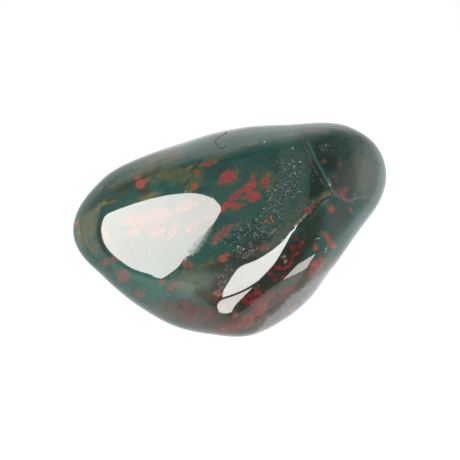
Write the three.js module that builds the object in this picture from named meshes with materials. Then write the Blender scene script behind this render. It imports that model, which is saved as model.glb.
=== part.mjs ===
// A tumbled bloodstone pebble: one solid stone with soft ground faces and a flat underside.
//
// Units are millimetres. +X is the long way of the stone, +Z is up, and the origin is on the
// ground below the middle of the stone. The form is a function of direction: for each direction
// out of the stone's heart it gives the distance to the surface.
import * as THREE from "three";
import { mergeVertices } from "three/addons/utils/BufferGeometryUtils.js";

// Driving dimensions
const LENGTH = 42; // along X, end to end
const SEAT_BELOW_HEART = 7.7; // the flat underside lies this far below the heart
const OUTLINE_RISE = 55; // degrees from the ground to the line along which the outline is seen

// The outline around that line: distance from the heart every 20 degrees, from +X upwards.
const OUTLINE = [
  18.0, 25.0, 21.9, 16.75, 14.4, 13.45, 13.65, 15.6, 19.45, 22.8, 18.35, 16.0, 14.85, 14.05, 14.2,
  13.95, 14.2, 14.9,
];
const OUTLINE_STEP = 360 / OUTLINE.length;
const FRONT_DEPTH = 15; // from the rim towards the viewer, before the faces flatten it
const BACK_DEPTH = 11; // from the rim away from the viewer
const RIM_LEAN_BACK = 0.42; // how far the rim moves away from the viewer for each mm it rises
const RIM_LEAN_RIGHT = 0.06; // how far it moves towards the viewer for each mm it goes right
const BODY_FULLNESS = 2.2; // 2 is an ellipse, more is squarer
const FACE_SHARPNESS = 14; // how tightly neighbouring faces round into each other

// Ground faces: compass bearing from +X towards +Y, rise above the ground, distance from the
// heart, and the radius of the face's own slight dome.
const FACES = [
  { name: "left slope", bearing: 196, rise: 56, distance: 10.5, dome: 130 },
  { name: "top", bearing: 50, rise: 84, distance: 10.1, dome: 150 },
  { name: "right shoulder", bearing: 345, rise: 42, distance: 15.3, dome: 200 },
  { name: "right front", bearing: 321, rise: 34.5, distance: 13.3, dome: 200 },
  { name: "front ridge", bearing: 303, rise: 44, distance: 13.0, dome: 80 },
  { name: "nose", bearing: 266, rise: 37, distance: 14.4, dome: 200 },
  { name: "left front", bearing: 238, rise: 22, distance: 14.5, dome: 400 },
  { name: "rear", bearing: 100, rise: -15, distance: 14.5, dome: 600 },
  { name: "lower right", bearing: 330, rise: -50, distance: 13.0, dome: 600 },
  { name: "underside", bearing: 270, rise: -90, distance: 8.4, dome: 600 },
];

// Low relief on the upper side, along lines given across and up in the outline's plane.
const RELIEF = [
  { name: "ledge crest", from: [13.2, 4.9], to: [8.8, 1.0], width: 0.7, height: 0.12 },
  { name: "crown dip", from: [-1.5, 4.5], to: [4.5, 8.0], width: 3.6, height: -0.1 },
  { name: "shoulder swell", from: [10.8, 9.8], to: [11.4, 6.2], width: 1.6, height: 0.12 },
];

// Grid spacing of the facets, near enough even over the whole surface
const FACETS_ALONG = 38;
const FACETS_ACROSS = 30;
const FACETS_UP = 17;
const BOX_DEPTH = 33;
const BOX_HEIGHT = 18;

const radians = THREE.MathUtils.degToRad;

// A direction in the part's frame, seen along the outline's line: right, up, towards the viewer.
function seenFromOutline(direction) {
  const rise = radians(OUTLINE_RISE);
  return new THREE.Vector3(
    direction.x,
    direction.y * Math.sin(rise) + direction.z * Math.cos(rise),
    direction.z * Math.sin(rise) - direction.y * Math.cos(rise),
  );
}

function directionOf(bearing, rise) {
  return new THREE.Vector3(
    Math.cos(radians(rise)) * Math.cos(radians(bearing)),
    Math.cos(radians(rise)) * Math.sin(radians(bearing)),
    Math.sin(radians(rise)),
  );
}

// The outline's reach at an angle: a smooth closed Catmull-Rom curve through the given values.
function outlineReach(angle) {
  const count = OUTLINE.length;
  const turns = THREE.MathUtils.euclideanModulo(THREE.MathUtils.radToDeg(angle), 360);
  const place = turns / OUTLINE_STEP;
  const start = Math.floor(place) % count;
  const t = place - Math.floor(place);
  const value = (offset) => OUTLINE[(start + offset + count) % count];
  const [before, first, second, after] = [value(-1), value(0), value(1), value(2)];
  const cubic = 3 * (first - second) + after - before;
  const square = 2 * before - 5 * first + 4 * second - after;
  return first + 0.5 * t * (second - before + t * (square + t * cubic));
}

// The body before its faces are ground: a superellipse from the rim to the front and the back.
function bodyReach(seen) {
  const depth = seen.z + RIM_LEAN_BACK * seen.y - RIM_LEAN_RIGHT * seen.x;
  const across = Math.hypot(seen.x, seen.y) / outlineReach(Math.atan2(seen.y, seen.x));
  const along = Math.abs(depth) / (depth > 0 ? FRONT_DEPTH : BACK_DEPTH);
  return (across ** BODY_FULLNESS + along ** BODY_FULLNESS) ** (-1 / BODY_FULLNESS);
}

// Distance along a direction to one domed face, which is a large sphere around a far centre.
function faceReach(face, direction) {
  const centreBehind = face.dome - face.distance;
  const lean = direction.dot(directionOf(face.bearing, face.rise)) * centreBehind;
  return Math.sqrt(lean * lean - centreBehind ** 2 + face.dome ** 2) - lean;
}

// Height of the low relief at a point of the surface, seen along the outline's line.
function reliefHeight(point, frontness) {
  let height = 0;
  for (const line of RELIEF) {
    const [x0, y0] = line.from;
    const span = new THREE.Vector2(line.to[0] - x0, line.to[1] - y0);
    const offset = new THREE.Vector2(point.x - x0, point.y - y0);
    const share = THREE.MathUtils.clamp(offset.dot(span) / span.lengthSq(), 0, 1);
    const away = offset.addScaledVector(span, -share).length();
    height += line.height * Math.exp(-((away / line.width) ** 2));
  }
  return height * frontness;
}

// Distance from the heart to the stone's surface along a unit direction of the part's frame.
function surfaceReach(direction) {
  const seen = seenFromOutline(direction);
  let sum = bodyReach(seen) ** -FACE_SHARPNESS;
  for (const face of FACES) sum += faceReach(face, direction) ** -FACE_SHARPNESS;
  let reach = sum ** (-1 / FACE_SHARPNESS);
  const frontness = THREE.MathUtils.smoothstep(seen.z + RIM_LEAN_BACK * seen.y, 0, 0.35);
  reach += reliefHeight(seen.clone().multiplyScalar(reach), frontness);
  if (direction.z < 0) reach = Math.min(reach, SEAT_BELOW_HEART / -direction.z);
  return reach;
}

// A box's even grid pushed out to the surface, then stood on the ground at its full length.
function stoneGeometry() {
  const box = new THREE.BoxGeometry(
    LENGTH,
    BOX_DEPTH,
    BOX_HEIGHT,
    FACETS_ALONG,
    FACETS_ACROSS,
    FACETS_UP,
  );
  box.deleteAttribute("normal");
  box.deleteAttribute("uv");
  const geometry = mergeVertices(box);
  const position = geometry.getAttribute("position");
  const point = new THREE.Vector3();
  for (let i = 0; i < position.count; i++) {
    point.fromBufferAttribute(position, i).normalize();
    point.multiplyScalar(surfaceReach(point));
    position.setXYZ(i, point.x, point.y, point.z);
  }
  geometry.computeBoundingBox();
  const { min, max } = geometry.boundingBox;
  const toLength = LENGTH / (max.x - min.x);
  geometry.translate(-(min.x + max.x) / 2, -(min.y + max.y) / 2, -min.z);
  geometry.scale(toLength, toLength, toLength);
  geometry.computeVertexNormals();
  return geometry;
}

const polishedBloodstone = new THREE.MeshStandardMaterial({
  color: 0x2e4a46,
  roughness: 0.12,
  metalness: 0,
});

const stone = new THREE.Mesh(stoneGeometry(), polishedBloodstone);
stone.name = "stone";

const bloodstone = new THREE.Group();
bloodstone.add(stone);

export default bloodstone;
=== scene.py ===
import math

import bpy
import numpy as np
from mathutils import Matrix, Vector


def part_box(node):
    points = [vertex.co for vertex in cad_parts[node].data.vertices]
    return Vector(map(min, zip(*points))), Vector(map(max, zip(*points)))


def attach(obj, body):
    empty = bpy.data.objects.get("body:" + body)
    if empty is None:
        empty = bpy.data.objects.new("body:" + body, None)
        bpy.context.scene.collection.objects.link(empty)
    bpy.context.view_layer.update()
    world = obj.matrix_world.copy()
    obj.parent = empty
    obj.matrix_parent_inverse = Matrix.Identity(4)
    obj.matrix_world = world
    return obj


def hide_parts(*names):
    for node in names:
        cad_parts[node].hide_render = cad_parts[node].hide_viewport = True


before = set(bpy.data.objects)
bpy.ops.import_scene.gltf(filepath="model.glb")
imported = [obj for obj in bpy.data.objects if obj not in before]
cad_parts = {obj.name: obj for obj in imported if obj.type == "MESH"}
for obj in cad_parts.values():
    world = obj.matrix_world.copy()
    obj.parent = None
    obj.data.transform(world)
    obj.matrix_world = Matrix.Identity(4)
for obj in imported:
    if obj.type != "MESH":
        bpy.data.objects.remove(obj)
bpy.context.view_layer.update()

# Millimetres in metres
MM = 0.001

# The stone's form, in millimetres from its heart, the same as the solid's. Its outline is seen
# along a line this far above the ground, and gives a distance every 20 degrees.
SEAT_BELOW_HEART = 7.7
OUTLINE_RISE = math.radians(55)
OUTLINE = np.array([
    18.0, 25.0, 21.9, 16.75, 14.4, 13.45, 13.65, 15.6, 19.45, 22.8, 18.35, 16.0, 14.85, 14.05, 14.2,
    13.95, 14.2, 14.9,
])
FRONT_DEPTH = 15
BACK_DEPTH = 11
RIM_LEAN_BACK = 0.42
RIM_LEAN_RIGHT = 0.06
BODY_FULLNESS = 2.2
FACE_SHARPNESS = 14

# Ground faces: bearing from +X towards +Y, rise, distance from the heart, radius of the dome
FACES = [
    (196, 56, 10.5, 130),  # left slope
    (50, 84, 10.1, 150),  # top
    (345, 42, 15.3, 200),  # right shoulder
    (321, 34.5, 13.3, 200),  # right front
    (303, 44, 13.0, 80),  # front ridge
    (266, 37, 14.4, 200),  # nose
    (238, 22, 14.5, 400),  # left front
    (100, -15, 14.5, 600),  # rear
    (330, -50, 13.0, 600),  # lower right
    (270, -90, 8.4, 600),  # underside
]

# Low relief along lines in the outline's plane: from, to, width, height
RELIEF = [
    ((13.2, 4.9), (8.8, 1.0), 0.7, 0.12),  # crest of the ledge
    ((-1.5, 4.5), (4.5, 8.0), 3.6, -0.1),  # dip in the crown
    ((10.8, 9.8), (11.4, 6.2), 1.6, 0.12),  # swell of the shoulder
]
# Over how much of a direction's depth the relief fades out towards the rim
RELIEF_FADE = 0.35

# Marks on the side that the eye sees, laid out in the outline's plane from the heart:
# across, up, half length, half width in millimetres, and the turn of the long way in degrees.
# First the marks themselves: bright red and dull red jasper, olive rims and ochre streaks.
VIVID_SPOTS = [
    (-12.0, 6.2, 0.6, 0.55, 0),
    (-11.35, 6.55, 0.4, 0.16, 35),
    (-12.4, 7.0, 0.35, 0.27, 10),
    (-2.9, 8.8, 0.68, 0.28, 20),
    (-4.3, 7.8, 0.4, 0.27, 15),
    (-4.8, 6.0, 0.45, 0.3, 60),
    (-0.25, 7.1, 1.1, 0.75, 30),
    (-1.2, 6.4, 0.5, 0.17, 15),
    (3.0, 6.8, 0.6, 0.3, 80),
    (2.9, 6.0, 0.85, 0.45, 15),
    (2.6, 5.3, 0.6, 0.5, 0),
    (3.05, 4.45, 0.95, 0.75, 0),
    (1.9, 4.4, 0.4, 0.25, 30),
    (1.5, 5.1, 0.8, 0.28, 40),
    (0.6, 4.4, 0.9, 0.45, 45),
    (-0.4, 3.4, 0.65, 0.4, 30),
    (0.9, 3.3, 0.75, 0.42, 15),
    (-1.0, 2.9, 0.45, 0.4, 0),
    (4.3, 6.3, 0.4, 0.3, 30),
    (4.7, 5.8, 0.3, 0.18, 10),
    (5.0, 6.8, 0.45, 0.38, 20),
    (-0.2, 0.15, 0.4, 0.16, 40),
    (1.3, 0.9, 0.32, 0.14, 30),
    (4.4, 1.0, 0.24, 0.17, 0),
    (5.6, 1.4, 0.3, 0.16, -50),
    (-0.9, -3.6, 0.42, 0.22, 20),
    (-0.4, -3.35, 0.28, 0.26, 0),
    (-0.9, -4.05, 0.22, 0.17, 0),
    (8.4, -2.3, 0.32, 0.28, 0),
    (9.6, -1.6, 0.22, 0.2, 0),
    (9.4, -2.25, 0.36, 0.2, 20),
    (11.5, -2.4, 0.36, 0.28, 60),
    (11.5, -4.6, 0.55, 0.35, 40),
    (12.1, -4.0, 0.3, 0.2, 0),
    (12.8, -0.7, 0.42, 0.2, -30),
    (13.3, -1.4, 0.65, 0.3, -60),
    (13.8, -2.0, 0.4, 0.32, -10),
    (13.6, 2.75, 0.47, 0.37, 0),
    (13.2, 3.3, 0.26, 0.13, 120),
    (16.25, 2.7, 0.32, 0.17, -50),
    (10.35, 2.6, 0.42, 0.34, 45),
    (8.5, -3.5, 0.45, 0.2, 60),
    (8.1, -4.35, 0.32, 0.19, 50),
    (7.6, -4.95, 0.6, 0.18, 30),
    (6.5, -5.05, 0.45, 0.16, -10),
    (5.4, -5.9, 0.36, 0.24, -40),
    (9.0, -3.2, 0.3, 0.12, 30),
    (7.2, -6.2, 0.3, 0.14, 40),
    (6.2, -6.7, 0.35, 0.13, 20),
    (8.9, -1.2, 0.14, 0.12, 0),
    (3.45, -8.4, 0.65, 0.28, 80),
    (2.9, -9.75, 0.65, 0.34, 25),
    (2.0, -9.5, 0.4, 0.32, 0),
    (2.5, -8.9, 0.35, 0.22, 20),
    (12.7, 9.2, 0.18, 0.16, 0),
    (-20.5, 0.9, 0.35, 0.2, 90),
]
DULL_SPOTS = [
    (-16.8, -4.4, 0.42, 0.36, 20),
    (-15.7, -4.0, 0.5, 0.32, 30),
    (-14.4, -6.1, 1.0, 0.85, 0),
    (-12.1, -8.5, 0.65, 0.5, 40),
    (-8.9, -6.9, 0.5, 0.36, 20),
    (-8.1, -7.8, 0.45, 0.32, 60),
    (-7.5, -7.3, 0.45, 0.26, 30),
    (-5.8, -4.7, 0.75, 0.55, 100),
    (-0.05, -5.4, 0.25, 0.2, 60),
    (-1.7, -8.6, 0.6, 0.45, 90),
    (4.8, -2.3, 0.65, 0.36, 10),
    (4.2, -10.6, 1.0, 0.7, 70),
    (5.1, -9.3, 0.5, 0.26, 20),
    (2.3, -12.2, 1.3, 0.75, 40),
    (0.8, -11.5, 0.4, 0.32, 90),
    (0.6, -13.0, 0.42, 0.22, 0),
    (-0.7, -13.2, 0.36, 0.22, 10),
    (7.2, -8.2, 0.9, 0.27, 15),
    (6.0, -8.8, 0.42, 0.2, 40),
    (11.8, -4.8, 0.8, 0.6, 30),
    (13.6, -3.8, 0.25, 0.2, 0),
    (10.7, -5.7, 0.42, 0.22, 30),
    (-1.0, -0.6, 1.4, 0.5, 40),
    (-0.9, 0.35, 0.35, 0.25, 90),
    (0.9, 0.7, 0.5, 0.14, 25),
    (15.0, 5.1, 0.75, 0.5, 0),
    (15.6, 5.4, 0.35, 0.3, 0),
    (15.4, 4.2, 0.5, 0.3, -30),
    (14.8, 9.7, 0.18, 0.14, 90),
    (14.7, 8.9, 0.2, 0.14, 90),
    (18.7, 7.2, 0.22, 0.16, 60),
    (14.0, 7.2, 0.18, 0.14, 0),
    (11.6, 13.3, 1.0, 0.35, 0),
    (-11.9, 1.4, 2.9, 0.8, 10),
    (-9.4, 2.0, 1.6, 1.0, 0),
    (-5.7, 3.3, 1.9, 0.55, 20),
    (-2.7, 1.95, 1.25, 0.42, 18),
    (-16.8, -0.3, 0.9, 0.4, 118),
    (-13.2, -0.35, 1.7, 0.4, 13),
    (-4.85, 0.6, 1.35, 0.4, 35),
    (-7.65, 0.0, 1.35, 0.45, 60),
    (-10.0, -0.15, 1.25, 1.0, 0),
    (-7.4, 10.1, 0.42, 0.2, 10),
    (-9.6, 10.0, 0.36, 0.2, 15),
    (-15.9, 5.85, 0.4, 0.17, 10),
    (-17.4, 5.4, 0.32, 0.2, 50),
]
OLIVE_SPOTS = [
    (-7.4, 7.6, 3.2, 0.7, 14),
    (-4.7, 6.4, 0.9, 0.7, 60),
    (-5.4, 5.2, 0.55, 0.4, 20),
    (-2.1, 9.4, 0.6, 0.22, 50),
    (0.3, 7.2, 1.35, 1.0, 30),
    (3.15, 7.6, 0.5, 0.35, 90),
    (5.1, 6.9, 1.2, 1.0, 80),
    (5.8, 5.8, 0.75, 0.4, -60),
    (5.6, 0.9, 0.5, 0.25, 70),
    (-19.3, 0.2, 2.2, 1.3, 85),
    (-18.6, -2.3, 1.1, 0.6, 120),
    (-2.6, -4.4, 1.6, 0.25, 20),
    (13.0, 4.9, 0.5, 0.25, 10),
]
GOLD_SPOTS = [
    (-10.6, 4.5, 1.2, 0.28, 16),
    (-5.4, 8.35, 0.8, 0.13, 25),
    (-16.6, 3.6, 0.95, 0.15, 8),
    (-17.9, 2.7, 0.9, 0.12, 50),
    (-2.0, 9.4, 0.5, 0.14, 50),
    (0.95, 7.4, 0.55, 0.15, 70),
    (5.3, 6.0, 0.7, 0.2, -60),
    (5.0, 7.3, 0.5, 0.25, 60),
    (2.75, 6.1, 0.42, 0.34, 60),
    (-5.2, 5.3, 0.4, 0.2, 50),
    (5.7, 0.75, 0.5, 0.15, 60),
    (-1.8, -1.5, 0.45, 0.16, 20),
    (3.1, 11.5, 1.0, 0.17, 8),
    (8.1, 12.7, 0.32, 0.14, 10),
    (-20.3, -0.3, 0.9, 0.25, 88),
]

# Zones of colour, as ellipses in the same way
LIGHT_TEAL_SPOTS = [
    (-11.0, -7.0, 4.8, 1.6, -38),
    (-6.0, -8.2, 2.0, 1.2, -20),
    # Along the crown: a lighter teal that is partly the stone's own and partly painted light from
    # the back wall
    (4.5, 12.4, 6.2, 1.1, 8),
]
OPEN_TEAL_SPOTS = [
    (3.2, 4.6, 5.6, 4.0, 0),
]
GREY_SPOTS = [
    (-4.8, -6.7, 2.8, 1.5, 12),
    (-10.7, 8.6, 4.5, 1.2, 24),
    (17.6, 8.2, 3.2, 1.4, 100),
    (7.4, -7.7, 3.6, 0.6, 38),
]
SAGE_SPOTS = [
    (-5.9, 7.2, 2.0, 0.9, 12),
    (-2.2, 9.5, 1.0, 0.5, 25),
    (-11.6, 4.4, 0.8, 0.3, 20),
]
LEAF_SPOTS = [
    (-15.4, 4.4, 3.6, 0.7, 26),
    (-19.0, 1.9, 1.6, 0.8, 80),
]
BROWN_SPOTS = [
    (-3.9, -11.3, 3.0, 1.2, -10),
    (-5.8, -11.9, 3.6, 0.9, -17),
    (-1.6, -13.4, 3.0, 0.9, -6),
    (-1.6, -10.8, 1.6, 0.9, 60),
    (1.0, -12.6, 3.8, 1.3, 8),
    (7.0, -8.9, 3.6, 0.5, 32),
]
BARK_SPOTS = [
    (-1.7, -9.2, 2.2, 0.6, 80),
    (1.6, -10.3, 1.5, 0.7, 40),
    (0.6, -11.8, 2.4, 0.7, 5),
]
# Painted shade: on the side that shows, the umber zones darken bands beside the two big highlights
# and near the lower rim
HIGHLIGHT_EDGE_SHADE_SPOTS = [
    (-0.2, -4.1, 3.4, 0.8, 21),
    (2.75, -3.1, 2.8, 1.3, 40),
    (-0.3, -6.6, 1.6, 0.7, 65),
    (-17.4, -1.2, 2.6, 0.45, 108),
    (-5.5, -10.4, 2.4, 0.7, -14),
]
EARTH_SPOTS = [
    (8.0, -4.1, 3.6, 1.3, 48),
    (3.0, -9.0, 2.2, 1.0, 55),
    (0.9, -8.3, 2.8, 0.5, 24),
]
FRINGE_SPOTS = [
    (-3.3, -8.9, 1.3, 0.8, 0),
    (10.6, -5.0, 2.6, 0.8, 42),
    (6.9, -8.6, 3.0, 0.9, 35),
]
SMOKE_SPOTS = [
    (15.6, 6.9, 2.8, 1.7, 75),
    (14.6, 1.4, 2.6, 0.8, 65),
]
FAWN_SPOTS = [
    (7.0, -0.5, 2.9, 0.6, 46),
    (9.7, 3.1, 1.6, 0.4, 55),
]
# Painted shadow: dark olive bands, the longest between the upper rim's sheen and the left highlight
SHADOW_BAND_SPOTS = [
    (-13.7, 6.1, 5.2, 0.5, 24),
    (-17.2, 3.9, 1.6, 0.4, 45),
    (-9.9, 8.0, 1.0, 0.4, 30),
    (-1.2, -6.8, 1.6, 0.7, 60),
]
# Painted shade: near-black zones on the dark flank, under the ledge and between the front
# highlights
DARK_FLANK_SHADE_SPOTS = [
    (9.0, -2.4, 4.8, 1.4, 50),
    (6.0, -5.5, 3.2, 1.2, 46),
    (2.8, -8.9, 2.3, 1.0, 42),
    (6.0, -7.0, 4.4, 0.8, 35),
    (11.0, 1.0, 2.4, 1.1, 52),
]
# Painted shade: the dark upper end of the shoulder, beyond the edge by the long crack
SHOULDER_SHADE_SPOTS = [
    (12.7, 10.2, 2.4, 1.6, 95),
]
HAZE_SPOTS = [
    (8.5, 8.3, 2.6, 1.6, -25),
    (6.2, 3.4, 2.2, 1.3, -70),
    (4.0, 0.5, 2.8, 1.5, 30),
    (1.2, -0.6, 2.0, 1.2, 40),
    (2.6, -2.4, 1.9, 0.9, 25),
    (7.8, 5.6, 1.7, 1.8, 90),
    (-0.7, -6.0, 1.6, 0.35, 66),
    (13.1, 11.0, 1.4, 0.8, -20),
]
RED_DUST_SPOTS = [
    (-4.6, -11.0, 3.0, 1.2, -15),
    (-1.8, -8.4, 1.2, 0.7, 80),
    (4.6, -10.0, 2.4, 1.8, 60),
    (0.6, -12.7, 1.4, 0.5, 10),
    (12.0, -4.9, 1.3, 0.8, 30),
    (8.0, -8.2, 2.4, 0.6, 25),
]
STAIN_SPOTS = [
    (-11.5, 5.2, 0.75, 0.5, 0),
    (-9.9, 10.4, 1.0, 0.5, 30),
]
# Short black scratches
SCRATCH_SPOTS = [
    (-4.95, 8.2, 0.75, 0.09, 42),
    (-3.9, 9.05, 0.5, 0.10, 35),
    (-5.6, 6.55, 0.75, 0.11, 42),
    (-6.5, 6.0, 0.5, 0.07, 5),
    (-11.1, -5.9, 0.35, 0.07, 30),
]
# Beige patches, bright dots and chips, and a slate-blue fleck
TAN_SPOTS = [
    (8.25, -10.6, 0.75, 0.28, 35),
    (7.25, -3.5, 0.3, 0.2, 20),
    (7.5, -4.2, 0.25, 0.2, 0),
    (5.6, -0.2, 0.5, 0.12, 40),
    (13.15, 6.6, 0.38, 0.18, -60),
]
SLATE_SPOTS = [
    (12.8, 3.9, 0.8, 0.28, 35),
    (16.85, 4.7, 0.35, 0.12, 75),
]
BRIGHT_SPOTS = [
    (8.45, 10.95, 0.14, 0.12, 0),
    (4.65, 11.9, 0.16, 0.1, 0),
    (8.56, 8.48, 0.15, 0.08, 30),
    (9.35, 9.1, 0.14, 0.1, 0),
    (8.8, 7.65, 0.12, 0.08, 40),
    (9.3, 5.1, 0.13, 0.08, 20),
    (5.2, 4.2, 0.12, 0.08, 60),
    (4.54, 2.95, 0.12, 0.08, 0),
    (1.18, -2.2, 0.12, 0.08, 0),
    (1.85, -2.6, 0.13, 0.09, 90),
    (6.95, -1.3, 0.12, 0.08, 60),
    (12.9, 11.4, 0.13, 0.08, 0),
    (-6.0, 5.2, 0.13, 0.09, 60),
    (13.4, 6.1, 0.26, 0.13, -58),
    (6.1, 5.5, 0.45, 0.05, -38),
    (12.9, -2.6, 0.55, 0.04, 68),
    (11.8, -1.1, 0.4, 0.04, 12),
]
# The frosted strip where the left highlight breaks up
FROST_SPOTS = [
    (-4.3, -1.9, 1.9, 0.5, 48),
]

# The pale chalcedony band, and the clean dark wedge of painted shade beside the long crack, by
# their corners
PALE_BAND = [
    (12.6, -5.5), (10.2, -7.3), (7.7, -9.0), (6.4, -10.5), (4.6, -12.0), (3.8, -13.2), (2.4, -14.6),
    (8.0, -16.0), (18.0, -10.0), (15.6, -4.0),
]
PAINTED_SHADE_WEDGE = [
    (11.0, 9.4), (11.0, 8.6), (10.85, 7.0), (10.65, 4.8), (10.5, 4.0), (11.5, 4.6), (12.4, 4.95),
    (12.7, 5.9), (12.5, 7.0), (11.9, 8.2), (11.3, 9.3),
]
# A painted sheen: lighter grey-teal on the near side of the edge by the long crack, by its corners
PAINTED_SHEEN_ZONE = [(6.6, 11.6), (10.7, 10.6), (10.3, 3.2), (8.6, 1.2), (4.6, 0.2), (4.8, 3.0), (6.4, 6.8)]

# Hairlines, by the points they run through
PINK_CRACK = [
    (9.65, 13.5), (9.8, 11.75), (10.2, 10.95), (10.65, 10.4), (10.85, 9.2), (11.4, 8.1),
    (11.9, 7.1), (12.5, 6.2),
]
TEAL_SEAM = [(10.55, 11.6), (11.05, 10.55), (11.5, 9.45), (11.95, 8.7), (12.35, 8.0), (12.8, 7.05)]
RED_VEIN = [
    (13.2, 6.5), (13.85, 5.15), (14.3, 4.65), (15.05, 4.4), (15.7, 3.9), (16.35, 3.75),
    (16.7, 4.25), (17.7, 4.25), (18.3, 4.4), (19.2, 4.3),
]
HOOK_CRACK = [
    (-0.75, 12.9), (-1.15, 12.7), (-1.45, 12.4), (-1.9, 12.05), (-1.95, 11.75), (-1.75, 11.4),
    (-1.35, 10.95), (-0.9, 10.8), (-0.75, 11.05),
]
SHORT_CRACK = [(18.7, 10.2), (19.2, 9.4), (19.8, 8.9)]
LEDGE = [
    (13.0, 4.8), (12.2, 4.3), (11.5, 3.75), (11.0, 3.1), (10.6, 2.5), (10.15, 2.1), (9.5, 1.4),
    (9.0, 0.95),
]

# Every kind of spot: the ones on the side that shows; then, for the hidden side, how many, their
# half lengths from and to, their half widths from and to as shares of the length, and the seed
SPOTS = {
    "vivid": (VIVID_SPOTS, 26, (0.25, 1.0), (0.35, 0.9), 11),
    "dull": (DULL_SPOTS, 24, (0.4, 1.5), (0.4, 0.9), 12),
    "olive": (OLIVE_SPOTS, 12, (0.8, 3.2), (0.3, 0.6), 13),
    "gold": (GOLD_SPOTS, 14, (0.4, 1.3), (0.15, 0.3), 14),
    "light_teal": (LIGHT_TEAL_SPOTS, 3, (3.0, 5.0), (0.4, 0.6), 15),
    "open_teal": (OPEN_TEAL_SPOTS, 3, (3.0, 5.0), (0.5, 0.8), 28),
    "grey": (GREY_SPOTS, 3, (2.0, 4.0), (0.5, 0.8), 16),
    "sage": (SAGE_SPOTS, 4, (1.0, 2.5), (0.3, 0.5), 29),
    "leaf": (LEAF_SPOTS, 4, (1.5, 4.0), (0.3, 0.5), 30),
    "bark": (BARK_SPOTS, 3, (1.0, 2.5), (0.4, 0.7), 31),
    "umber": (HIGHLIGHT_EDGE_SHADE_SPOTS, 4, (2.0, 4.0), (0.2, 0.4), 32),
    "earth": (EARTH_SPOTS, 3, (1.5, 3.0), (0.3, 0.5), 33),
    "fringe": (FRINGE_SPOTS, 3, (1.5, 3.0), (0.3, 0.5), 34),
    "stain": (STAIN_SPOTS, 4, (0.5, 1.0), (0.5, 0.8), 35),
    "scratch": (SCRATCH_SPOTS, 6, (0.3, 0.7), (0.1, 0.2), 36),
    "brown": (BROWN_SPOTS, 3, (2.5, 4.0), (0.4, 0.7), 17),
    "smoke": (SMOKE_SPOTS, 2, (2.0, 3.0), (0.5, 0.8), 23),
    "fawn": (FAWN_SPOTS, 3, (1.5, 3.0), (0.3, 0.5), 24),
    "moss": (SHADOW_BAND_SPOTS, 4, (1.5, 4.0), (0.15, 0.3), 25),
    "dark": (DARK_FLANK_SHADE_SPOTS, 6, (1.0, 4.0), (0.2, 0.5), 18),
    "deep_green": (SHOULDER_SHADE_SPOTS, 4, (1.0, 2.5), (0.5, 0.8), 26),
    "haze": (HAZE_SPOTS, 5, (1.5, 3.0), (0.4, 0.8), 19),
    "red_dust": (RED_DUST_SPOTS, 5, (1.5, 3.5), (0.4, 0.8), 20),
    "tan": (TAN_SPOTS, 3, (0.4, 0.8), (0.3, 0.6), 21),
    "slate": (SLATE_SPOTS, 3, (0.4, 0.8), (0.3, 0.6), 27),
    "bright": (BRIGHT_SPOTS, 10, (0.1, 0.2), (0.6, 0.9), 22),
    "frost": (FROST_SPOTS, 0, (1.0, 1.0), (1.0, 1.0), 37),
}
LINES = {
    "pink_crack": PINK_CRACK,
    "teal_seam": TEAL_SEAM,
    "red_vein": RED_VEIN,
    "hook_crack": HOOK_CRACK,
    "short_crack": SHORT_CRACK,
    "ledge": LEDGE,
}
# What a field holds where no mark is near, in millimetres inside its edge
FAR_OUTSIDE = -3.0
# How deep a spot reaches: on the side that shows, along the sight line, as a multiple of its
# longest half; on the hidden side, along the normal, as a share of its half length
SPOT_DEPTH = 3
HIDDEN_SPOT_DEPTH = 0.5
# The hidden side starts where the normal turns this far away from the eye
HIDDEN_TURN = -0.1
# What a millimetre towards the eye counts for, where two places of the surface are in one sight
NEARER_FIRST = 0.02

# Cells of the surface grid along X, Y and Z, and the box in millimetres that they divide
GRID_CELLS = (168, 134, 76)
GRID_BOX = (42.0, 33.0, 18.0)

# The eye that the marks are laid out for: how far it is from the heart along the outline's line
SIGHT_DISTANCE = 308
# How many steps carry its gaze to the surface, each this share of the height over it
GAZE_STEPS = 60
GAZE_STEP = 0.8
# Half the distance in millimetres over which the surface's tilt is measured
TILT_REACH = 0.1

# The fibres run this way in the part's frame; the stretch draws the noise out along it
STREAK_DIRECTION = (0.94, 0.28, 0.20)
STREAK_STRETCH = 0.85

# Colours of the stone
DEEP_TEAL = (0.011, 0.047, 0.040)
TEAL = (0.016, 0.067, 0.057)
LIGHT_TEAL = (0.029, 0.092, 0.075)
OPEN_TEAL = (0.027, 0.076, 0.064)
GREY_GREEN = (0.088, 0.108, 0.082)
SAGE = (0.070, 0.088, 0.052)
LEAF = (0.032, 0.046, 0.028)
BARK = (0.040, 0.018, 0.012)
# Umber, also laid as painted shade beside the highlights
UMBER = (0.026, 0.024, 0.016)
FRINGE = (0.050, 0.042, 0.031)
STAIN = (0.040, 0.026, 0.020)
BROWN = (0.080, 0.050, 0.040)
SMOKE = (0.050, 0.050, 0.044)
FAWN = (0.085, 0.085, 0.066)
# Moss, also the colour of the painted shadow bands
MOSS = (0.026, 0.030, 0.018)
NEAR_BLACK = (0.007, 0.017, 0.008)
# Deep green, also the colour of painted shade beside the long crack
DEEP_GREEN = (0.002, 0.017, 0.011)
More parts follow.
